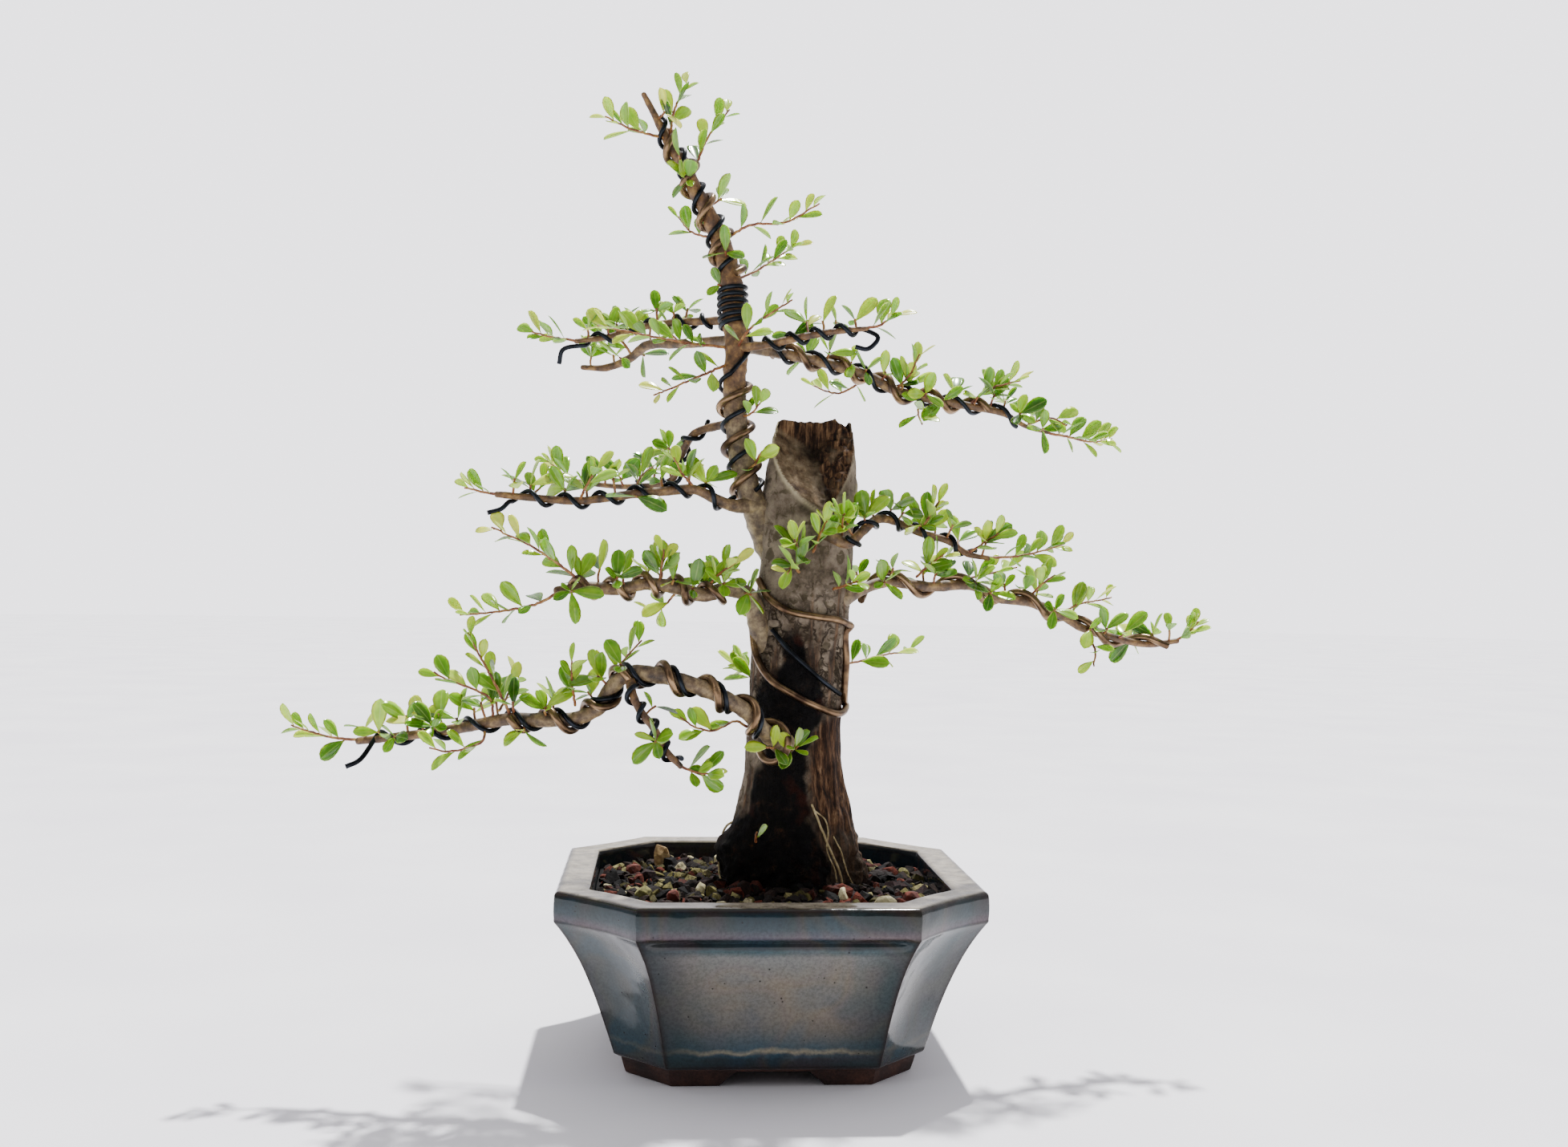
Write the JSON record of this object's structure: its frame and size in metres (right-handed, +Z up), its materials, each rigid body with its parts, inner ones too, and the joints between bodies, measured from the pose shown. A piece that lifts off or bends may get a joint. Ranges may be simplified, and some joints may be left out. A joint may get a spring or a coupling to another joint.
{
  "type": "bonsai tree in a pot",
  "caption": "Small-leaved bonsai with a stout sawn-off trunk, a wired new leader and wired side branches, in a glazed square pot with chamfered corners and short feet.",
  "frame": {"origin": "centre of the pot's foot, on the surface the pot stands on", "axes": "+Z up along the tree, the longest way; +X to the right and +Y to the back, seen from the front of the tree"},
  "size_m": [0.4604, 0.19, 0.4763],
  "materials": {
    "pot_glaze": "glossy blue-grey glaze that breaks brown at the edges, over a bare red-brown clay foot",
    "soil": "loose lava and pumice gravel, 3 to 10 mm",
    "drain_mesh": "moulded plastic net",
    "trunk_bark": "grey-brown bark, dark and mossy low on the front",
    "branch_bark": "smooth grey-brown bark",
    "brown_wire": "brown anodised",
    "black_wire": "black anodised",
    "leafy_shoots": "living leaves: glossy above, paler below; reddish-brown thin stems",
    "pale_stone": "rough pumice",
    "bark_chip": "rough bark"
  },
  "bodies": {
    "root": {"apex_left_shoot": "leafy_shoots", "apex_right_shoot": "leafy_shoots", "apex_top_shoot": "leafy_shoots", "bark_chip": "bark_chip", "drain_mesh_left": "drain_mesh", "drain_mesh_right": "drain_mesh", "hanging_twig": "branch_bark", "hanging_wire": "black_wire", "leader": "branch_bark", "leader_black_wire": "black_wire", "leader_brown_lower_wire": "brown_wire", "leader_brown_upper_wire": "brown_wire", "leader_lower_right_shoot": "leafy_shoots", "leader_upper_right_shoot": "leafy_shoots", "left_branch": "branch_bark", "left_tip_shoot": "leafy_shoots", "left_upper_shoot": "leafy_shoots", "left_wire": "brown_wire", "long_right_branch": "branch_bark", "long_right_tip_shoot": "leafy_shoots", "long_right_wire": "brown_wire", "low_left_black_wire": "black_wire", "low_left_branch": "branch_bark", "low_left_brown_wire": "brown_wire", "low_left_tip_shoot": "leafy_shoots", "low_left_upright_shoot": "leafy_shoots", "middle_left_branch": "branch_bark", "middle_left_rear_branch": "branch_bark", "middle_left_rear_tip_shoot": "leafy_shoots", "middle_left_rear_wire": "black_wire", "middle_left_tip_shoot": "leafy_shoots", "middle_left_wire": "black_wire", "middle_right_branch": "branch_bark", "middle_right_tip_shoot": "leafy_shoots", "middle_right_upright_shoot": "leafy_shoots", "middle_right_wire": "black_wire", "pale_pebble": "pale_stone", "pot": "pot_glaze", "soil": "soil", "trunk": "trunk_bark", "trunk_black_wire": "black_wire", "trunk_front_shoot": "leafy_shoots", "trunk_lower_brown_wire": "brown_wire", "trunk_upper_brown_wire": "brown_wire", "upper_front_left_shoot": "leafy_shoots", "upper_front_low_shoot": "leafy_shoots", "upper_front_right_shoot": "leafy_shoots", "upper_left_branch": "branch_bark", "upper_left_rear_branch": "branch_bark", "upper_left_rear_shoot": "leafy_shoots", "upper_left_tip_shoot": "leafy_shoots", "upper_left_wire": "black_wire", "upper_right_black_wire": "black_wire", "upper_right_branch": "branch_bark", "upper_right_brown_wire": "brown_wire", "upper_right_front_branch": "branch_bark", "upper_right_front_tip_shoot": "leafy_shoots", "upper_right_front_wire": "black_wire", "upper_right_outer_shoot": "leafy_shoots", "upper_right_tip_shoot": "leafy_shoots"}
  },
  "joints": []
}
